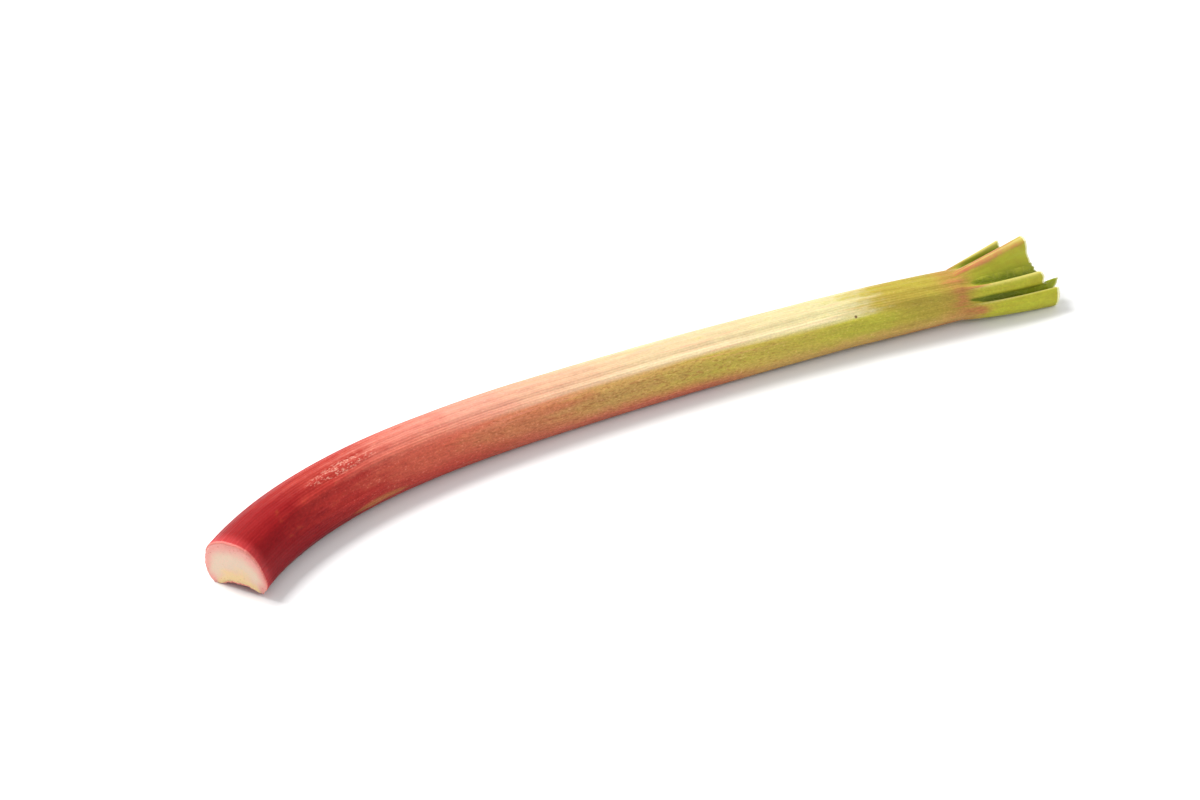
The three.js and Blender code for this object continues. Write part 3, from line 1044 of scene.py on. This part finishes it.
@dataclass(frozen=True)
class SkinFinish:
    """Satin rhubarb skin: crimson at the base, through salmon and straw, to green at the head."""

    length: float = StemSizes.length
    radius: float = 12.0
    roughness: float = 0.42
    bump: float = 0.00016
    scuff: Blot = Blot(61.0, 18.0, 17.0, 13.0)
    spot: Blot = Blot(298.3, 52.6, 0.7, 3.2)
    tan: Blot = Blot(72.0, 106.0, 14.0, 8.0)

    def make(self) -> Material:
        """Builds the material from the stalk's own lay: the stem's coats, then the head's.

        The stem has three faces: the top, the side and the low edge. The top is paler than the side, partly
        as painted highlight. The side begins softly near the base and sharply where the ridge stands, with a
        painted highlight along the ridge and a painted brightening of the slope below it. Streaks, dashes
        and patches lie over them. The head has green ribs with painted highlight on the crests, pale tips,
        painted shade on the web and in the grooves, and rosy patches.

        Returns:
            The material.
        """
        sh = Shader("rhubarb_skin")
        along, front, crown = sh.lay()
        place = sh.vector(along, front * self.radius, crown * self.radius)
        share = along / self.length
        signed = sh.math("ARCTAN2", front, crown) * (180.0 / math.pi)
        angle = sh.math("ABSOLUTE", signed)
        fibres = sh.noise(place, (24.0, 0.7, 0.7), 3.0)
        streaks = sh.noise(place, (36.0, 2.0, 2.0), 3.0)
        bands = sh.noise(place, (100.0, 7.0, 7.0))
        mottle = sh.noise(place, (7.0, 3.0, 3.0), 4.0, 0.6)
        dashes = sh.noise(place, (2.2, 0.6, 0.6))
        pores = sh.noise(place, (1.1, 0.65, 0.65), 2.0, 0.6)
        run = share + ((bands - 0.5) * 0.12 + (streaks - 0.5) * 0.10 + (mottle - 0.5) * 0.10)
        crest = angle + share.step(0.6, 0.85) * -8.0
        edge = crest + (streaks - 0.5) * 10.0
        soft = edge.step(8.0, 62.0)
        sidewards = soft + (edge.step(40.0, 51.0) - soft) * share.step(0.28, 0.45)
        downwards = (angle + (mottle - 0.5) * 26.0).step(80.0, 108.0)
        pink = (streaks * 0.6 + fibres * 0.4).step(0.52, 0.64) * share.step(0.3, 0.42)
        green = (mottle * 0.5 + bands * 0.5).step(0.5, 0.62) * share.step(0.5, 0.66)
        # Painted highlight: a pale band along the ridge on the top face
        ridge_highlight = crest.step(28.0, 35.0) * crest.step(44.0, 38.0) * share.step(0.42, 0.6) * share.step(0.88, 0.8)
        dashed = dashes.step(0.52, 0.64) * share.step(0.24, 0.36) * share.step(0.98, 0.6)
        flecks = (pores * 0.6 + mottle * 0.4).step(0.49, 0.6)
        opened, patchy = sh.mark("opened"), sh.mark("rose") * (mottle * 1.4 + fibres - 0.45)
        ribs = sh.mix((fibres * 0.5 + mottle * 0.5).step(0.4, 0.62), Hue.RIB_GREEN, Hue.RIB_OLIVE)
        colour = sh.coats(
            sh.ramp(run, TOP_RUN),
            (sidewards, sh.ramp(run, SIDE_RUN)),
            (downwards, sh.ramp(run, LOW_RUN)),
            (pink * share.step(0.98, 0.75) * angle.step(95.0, 30.0) * 0.45, Hue.PINK),
            (green * angle.step(100.0, 80.0) * 0.3, Hue.SIDE_GREEN),
            (ridge_highlight * 0.4, Hue.RIDGE_HIGHLIGHT_STRAW),
            (dashed * crest.step(42.0, 54.0) * 0.42, Hue.RUST),
            (pores.step(0.6, 0.75) * share.step(0.08, 0.2) * 0.14, Hue.BUFF),
            (self.scuff.shown(along, signed) * flecks * 0.4, Hue.BUFF),
            (self.tan.shown(along, signed) * 0.3, Hue.LOW_TAN),
            (self.spot.shown(along, signed) * 0.85, Hue.BROWN),
            ((along + (mottle - 0.5) * 4.0).step(7.0, 0.5) * 0.55, Hue.CUT_ROSE),
            (along.step(1.3, 0.2) * 0.8, Hue.CUT_PINK),
            ((opened + (mottle - 0.5) * 0.2).step(0.02, 0.26), ribs),
            # Painted highlight along the head's crests
            (sh.mark("crest") * 0.75, Hue.CREST_HIGHLIGHT_AND_VEIN),
            # Painted shade on the skin under the wide web
            (sh.mark("blade") * 0.9, Hue.PAINTED_WEB_SHADE),
            (patchy.step(0.0, 1.0), sh.mix(opened.step(0.4, 0.1), Hue.HEAD_ROSE, Hue.CROTCH_RED)),
            # Painted shade in the groove
            (sh.mark("groove"), Hue.PAINTED_GROOVE_SHADE),
            ((opened + (mottle - 0.5) * 0.02).step(0.968, 0.988), Hue.PALE_RIM),
            (sh.mark("cut"), sh.mix(opened, Hue.CUT_PINK, Hue.PALE_RIM)),
        )
        grain = angle.step(30.0, 56.0) * 0.4 - opened * 0.4 + 0.4
        uneven = (fibres - 0.5) * 0.35 + (pores - 0.5) * grain + (mottle - 0.5) * 0.25 + 1.0
        # Painted highlight: the colour is brightened on the slope just below the ridge
        slope = angle.step(36.0, 46.0) * angle.step(66.0, 52.0)
        slope = slope * share.step(0.16, 0.36) * share.step(0.94, 0.86)
        sockets = {
            "Base Color": sh.shade(colour, uneven + slope * 0.32),
            "Roughness": (mottle - 0.5) * 0.2 + (pores - 0.5) * 0.2 + self.roughness,
            "Subsurface Weight": 0.1,
            "Subsurface Radius": (0.003, 0.0012, 0.0006),
            "Subsurface Scale": 1.0,
            "Specular IOR Level": 0.1,
        }
        return sh.finish(sockets, fibres * 0.4 + pores * 0.45 + dashes * 0.15, self.bump)


@dataclass(frozen=True)
class FleshFinish:
    """Wet cut flesh: pinker towards the skin, yellow at the channel, with strings cut through."""

    name: str
    middle: Hue
    edge: Hue
    channel: Hue
    roughness: float = 0.42
    bump: float = 0.0002

    def make(self) -> Material:
        """Builds the material from the pad's own lay.

        Returns:
            The material.
        """
        sh = Shader(self.name)
        inward, over, up = sh.lay()
        deep = sh.mark("deep")
        flat = sh.vector(over, up, inward * 6.0)
        cloud = sh.noise(flat, (4.0, 4.0, 4.0), 3.0)
        pulp = sh.noise(flat, (0.6, 0.6, 0.6), 3.0, 0.6)
        strings = sh.cells(flat, (1.5, 1.5, 1.5))
        rim = (deep + (cloud - 0.5) * 0.18).step(0.42, 0.08) * inward.step(0.85, 0.5)
        ends = strings.step(0.24, 0.1) * (deep + (cloud - 0.5) * 0.2).step(0.3, 0.12)
        colour = sh.coats(
            self.middle,
            ((inward + (cloud - 0.5) * 0.5).step(0.55, 0.85), self.channel),
            (rim * 0.9, self.edge),
            (ends * 0.5, Hue.CUT_ROSE),
            (pulp.step(0.45, 0.7) * 0.22, self.edge),
        )
        sockets = {
            "Base Color": sh.shade(colour, (pulp - 0.5) * 0.3 + 1.0),
            "Roughness": (pulp - 0.5) * 0.3 + self.roughness,
            "Subsurface Weight": 0.2,
            "Subsurface Radius": (0.003, 0.0015, 0.0008),
            "Subsurface Scale": 1.0,
        }
        return sh.finish(sockets, pulp * 0.7 + cloud * 0.3, self.bump)


@dataclass(frozen=True)
class BladeFinish:
    """Leaf blade: saturated green with a faint net of veins, and painted shade low in the web and grooves.
    """

    roughness: float = 0.38
    bump: float = 0.0002

    def make(self) -> Material:
        """Builds the material from the sheet's own lay.

        Returns:
            The material.
        """
        sh = Shader("leaf_blade_green")
        along, over, away = sh.lay()
        flat = sh.vector(along, over, 0.0)
        net = sh.cells(flat, (4.0, 1.3, 1.0), "DISTANCE_TO_EDGE")
        cloud = sh.noise(flat, (9.0, 2.0, 1.0), 3.0)
        grain = sh.noise(flat, (1.6, 0.6, 1.0))
        # Painted shade on the narrow sheets in the grooves, darkest near the fork
        painted_narrow_shade = sh.mix((along + (cloud - 0.5) * 14.0).step(12.0, 42.0), Hue.PAINTED_GROOVE_SHADE, Hue.WEB_GREEN)
        # Painted shade: darkest low in the web by the lower rib, lighter towards the middle rib
        colour = sh.coats(
            Hue.PAINTED_WEB_SHADE,
            ((away + (cloud - 0.5) * 3.0).step(5.4, 3.8), Hue.RIB_GREEN),
            (along.step(9.0, 2.0), Hue.RIB_OLIVE),
            (sh.mark("deep"), painted_narrow_shade),
            (net.step(0.08, 0.0) * 0.08, Hue.CREST_HIGHLIGHT_AND_VEIN),
            (along.step(37.0, 38.0) * 0.6, Hue.PALE_RIM),
        )
        sockets = {
            "Base Color": sh.shade(colour, (grain - 0.5) * 0.4 + 1.0),
            "Roughness": (cloud - 0.5) * 0.2 + self.roughness,
            "Specular IOR Level": 0.15,
        }
        return sh.finish(sockets, net.step(0.12, 0.0) * 0.5 + cloud * 0.5, self.bump)


@dataclass
class Studio:
    """The table, the soft lights and the camera, which looks at a point before the fork.

    The fork's place and the table are in millimetres. The camera's distance is in metres, like each
    lamp's place and size, which stand between its name and its power in watts.
    """

    fork: Array
    before_fork: float = 163.1
    beside_fork: float = 16.3
    distance: float = 1.1573
    elevation: float = 35.0
    azimuth: float = -28.5
    field_of_view: float = 24.0
    table_half: float = 3000.0
    table_gap: float = 0.02
    room_light: float = 0.62
    lamps: tuple = (("key", (-0.62, 0.88, 1.20), 0.7, 37.0), ("fill", (0.5, -1.0, 1.0), 1.2, 6.0))

    def build(self) -> None:
        """Builds the table, lights and camera."""
        self.table()
        self.lights()
        self.camera()

    def table(self) -> None:
        """A wide pale table top, flat and plain, a hair below the stalk."""
        corners = np.array([[-1, -1, 0], [1, -1, 0], [1, 1, 0], [-1, 1, 0]]) * self.table_half
        table = new_piece("table_top", corners - [0.0, 0.0, self.table_gap], [[0, 1, 2, 3]], {})
        sh = Shader("table_white")
        grain = sh.noise(sh.add("ShaderNodeTexCoord", {}, {}, "Object"), (0.01, 0.01, 0.01))
        sockets = {"Base Color": Hue.TABLE, "Roughness": grain * 0.1 + 0.5}
        table.data.materials.append(sh.finish(sockets, grain, 0.00001))

    def lights(self) -> None:
        """A white room, a broad key from the upper left and behind, and a soft fill from the front."""
        world = bpy.data.worlds.new("white_room")
        bpy.context.scene.world = world
        world.use_nodes = True
        ground = world.node_tree.nodes["Background"]
        ground.inputs["Color"].default_value = (1.0, 1.0, 1.0, 1.0)
        ground.inputs["Strength"].default_value = self.room_light
        for name, place, size, power in self.lamps:
            data = bpy.data.lights.new(name, "AREA")
            data.size = size
            data.energy = power
            self.hang(data, Vector(place), -Vector(place))

    def camera(self) -> None:
        """Places the camera on a line from the point that it looks at."""
        turn, rise = math.radians(self.azimuth), math.radians(self.elevation)
        level = math.cos(rise)
        ahead = Vector((-math.sin(turn) * level, math.cos(turn) * level, -math.sin(rise)))
        look_at = Vector((self.fork[0] - self.before_fork, self.fork[1] + self.beside_fork, 0.0)) * MM
        data = bpy.data.cameras.new("camera")
        data.sensor_fit = "HORIZONTAL"
        data.angle = math.radians(self.field_of_view)
        data.clip_end = 20.0
        bpy.context.scene.camera = self.hang(data, look_at - ahead * self.distance, ahead)

    @staticmethod
    def hang(data: bpy.types.ID, place: Vector, ahead: Vector) -> Piece:
        """Hangs a lamp or camera in the room.

        Args:
            data: the lamp or camera.
            place: where it hangs.
            ahead: the way that it looks.

        Returns:
            Its object.
        """
        hung = bpy.data.objects.new(data.name, data)
        hung.location = place
        hung.rotation_euler = ahead.to_track_quat("-Z", "Y").to_euler()
        bpy.context.scene.collection.objects.link(hung)
        return hung


def dress(piece: Piece, slot: Slot, material: Material) -> None:
    """Gives a piece its finish, and its place in the frame.

    Args:
        piece: the piece.
        slot: the record's slot.
        material: its finish.
    """
    piece.data.materials.append(material)
    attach(piece, BODY)
    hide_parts(NODE)
    log.info("%s: %d faces, %s", piece.name, len(piece.data.polygons), slot.value)


def main() -> None:
    """Builds the stalk's pieces and the studio."""
    logging.basicConfig(level=logging.INFO, format="%(name)s: %(message)s")
    form = StalkForm()
    dress(StalkSkin(form).build(), Slot.SKIN, SkinFinish().make())
    flesh = CutFlesh(form)
    base = FleshFinish("base_flesh", Hue.FLESH_CREAM, Hue.FLESH_PINK, Hue.FLESH_YELLOW)
    dress(flesh.base(), Slot.FLESH, base.make())
    ribs = FleshFinish("rib_flesh", Hue.PALE_RIM, Hue.PALE_RIM, Hue.RIB_GREEN)
    dress(flesh.ribs(), Slot.FLESH, ribs.make())
    dress(LeafBlade(form).build(), Slot.BLADE, BladeFinish().make())
    Studio(form.spine(np.array([1.0]))[0][0]).build()
    bpy.context.scene.view_settings.view_transform = "Standard"


if __name__ == "__main__":
    main()
